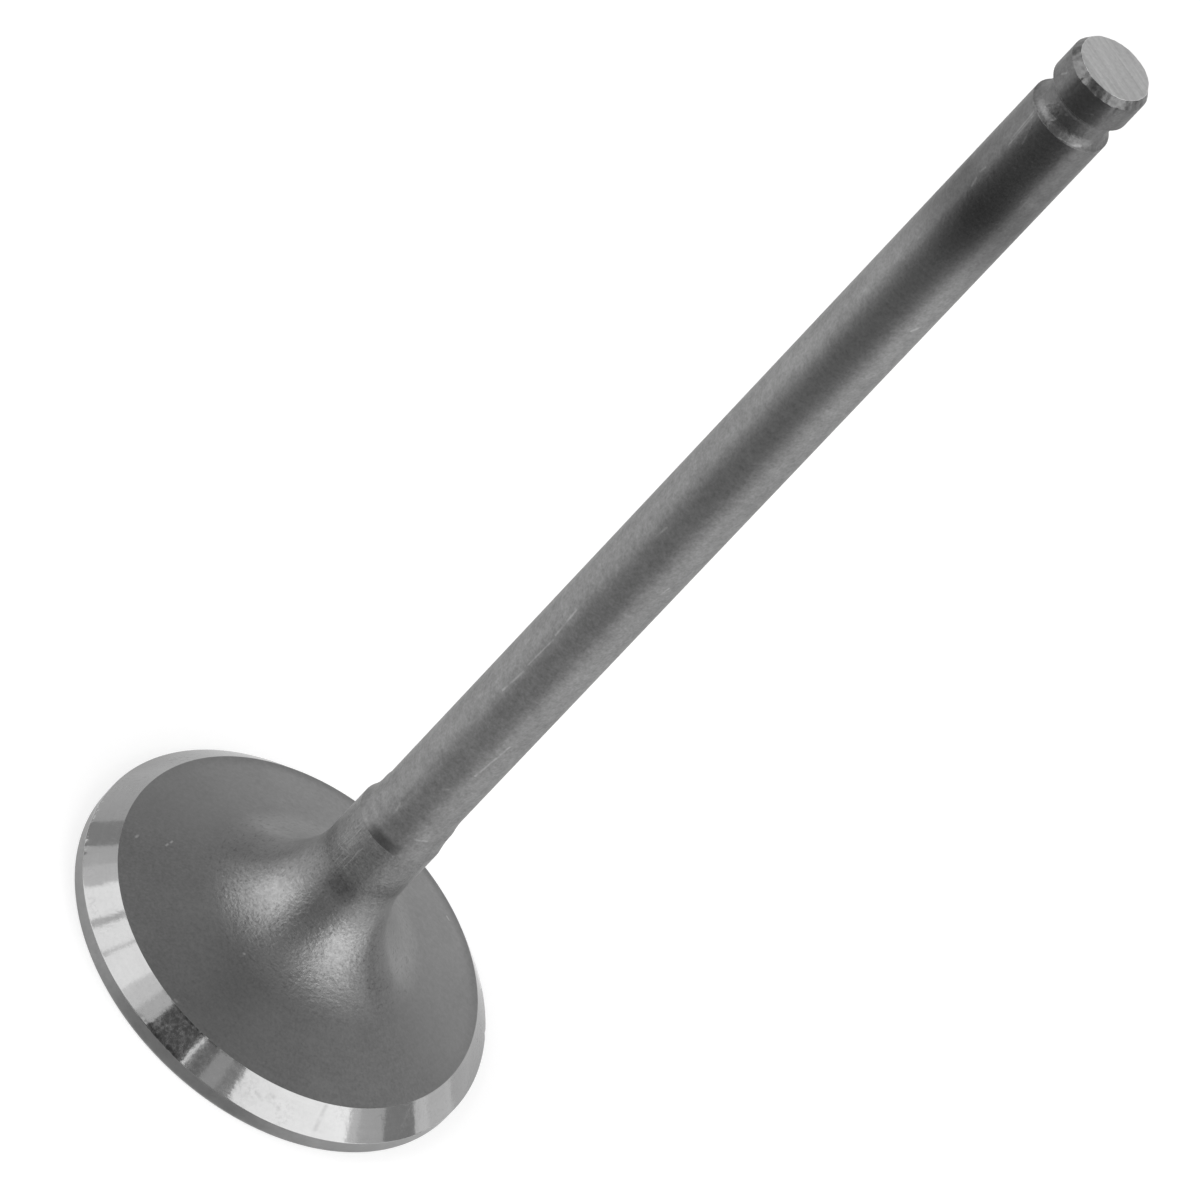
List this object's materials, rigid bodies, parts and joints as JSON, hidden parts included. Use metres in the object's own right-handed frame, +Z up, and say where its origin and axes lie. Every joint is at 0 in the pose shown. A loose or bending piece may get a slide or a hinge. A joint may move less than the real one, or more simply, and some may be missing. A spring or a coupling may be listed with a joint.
{
  "type": "engine valve",
  "caption": "Steel poppet valve with a flat face, margin, angled seat, tulip back, ground stem, keeper groove and chamfered tip, standing on its head.",
  "frame": {"origin": "centre of the flat combustion face, on which the valve stands", "axes": "+Z runs up the stem to the tip; +X points at the side on which the rough-ground band below the stem stands 0.05 mm proud"},
  "size_m": [0.0336, 0.0336, 0.105],
  "materials": {
    "steel": "satin ground steel, with a polished seat and tip face"
  },
  "bodies": {
    "root": {"valve": "steel"}
  },
  "joints": []
}
